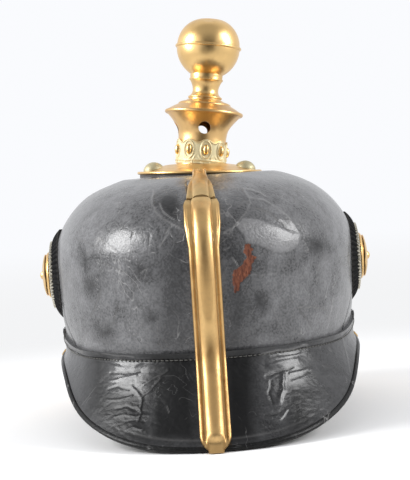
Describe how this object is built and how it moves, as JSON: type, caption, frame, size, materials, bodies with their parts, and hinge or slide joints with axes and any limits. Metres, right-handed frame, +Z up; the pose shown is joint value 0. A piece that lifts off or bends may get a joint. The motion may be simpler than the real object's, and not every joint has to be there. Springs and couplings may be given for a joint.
{
  "type": "pickelhaube",
  "caption": "Black lacquered leather dress helmet with flared peaks, brass rear spine, side cockades, chin scales and a ball finial that unscrews.",
  "frame": {"origin": "middle of the box on the floor that the two peaks stand on", "axes": "+Z up along the skull, +Y to the front peak, +X to the wearer's right"},
  "size_m": [0.2024, 0.3028, 0.242],
  "materials": {
    "lacquered_leather": "glossy black lacquer, crazed and scratched",
    "peak_binding": "glossy black",
    "green_lining": "matte, worn",
    "red_lining": "matte, worn",
    "brass": "polished, a little tarnished",
    "tarnished_brass": "greenish in the hollows",
    "steel": "plain",
    "cockade_black": "satin black, fluted",
    "silver": "tarnished silver, serrated",
    "tan_leather": "matte",
    "black_backing": "matte",
    "lace": "matte cotton"
  },
  "bodies": {
    "helmet": {"skull": "lacquered_leather", "rear_peak": "lacquered_leather", "rear_peak_binding": "peak_binding", "rear_peak_lining": "green_lining", "front_peak": "lacquered_leather", "front_peak_trim": "brass", "front_peak_lining": "red_lining", "spine": "brass", "spine_top_piece": "brass", "spine_fixing_posts": "brass", "spine_fixing_nuts": "steel", "base_disc": "brass", "base_washer": "black_backing", "base_studs": "tarnished_brass", "base_stud_nuts": "steel", "neck": "brass", "pearl_ring": "tarnished_brass", "neck_cap": "brass", "cockade_left": "cockade_black", "cockade_right": "cockade_black", "cockade_ring_left": "silver", "cockade_ring_right": "silver", "rosette_left": "brass", "rosette_right": "brass", "side_screw_left": "brass", "side_screw_right": "brass", "side_nut_left": "steel", "side_nut_right": "steel", "front_plate": "brass", "front_plate_boss": "brass", "front_plate_posts": "brass", "front_plate_nuts": "steel", "sweatband": "tan_leather", "liner_tongues": "tan_leather", "liner_lace": "lace"},
    "ball_washer": {"ball_washer": "brass"},
    "ball": {"ball_stem": "brass", "ball_lower_shell": "brass", "ball_upper_shell": "brass", "ball_seam_bead": "brass", "ball_stud": "brass"},
    "chin_scales": {"chin_backing_left": "black_backing", "chin_backing_right": "black_backing", "chin_scales_left": "brass", "chin_scales_right": "brass", "chin_buckle": "brass", "chin_buckle_tongue": "brass"}
  },
  "joints": [
    {"name": "ball_rise", "type": "slide", "parent": "helmet", "child": "ball_washer", "axis": [0.1286, 0.0519, 0.9903], "range_m": [0, 0.0063]},
    {"name": "ball_turn", "type": "hinge", "parent": "ball_washer", "child": "ball", "pos_m": [0.00127, -0.00605, 0.15246], "axis": [0.1286, 0.0519, 0.9903], "range_deg": [0, 1800]},
    {"name": "chin_scales_swing", "type": "hinge", "parent": "helmet", "child": "chin_scales", "pos_m": [0, -0.00605, 0.09], "axis": [1, 0, 0], "range_deg": [0, 55]}
  ],
  "couplings": [
    {"joint": "ball_rise", "follows": "ball_turn", "m_per_rad": 0.00019894}
  ]
}
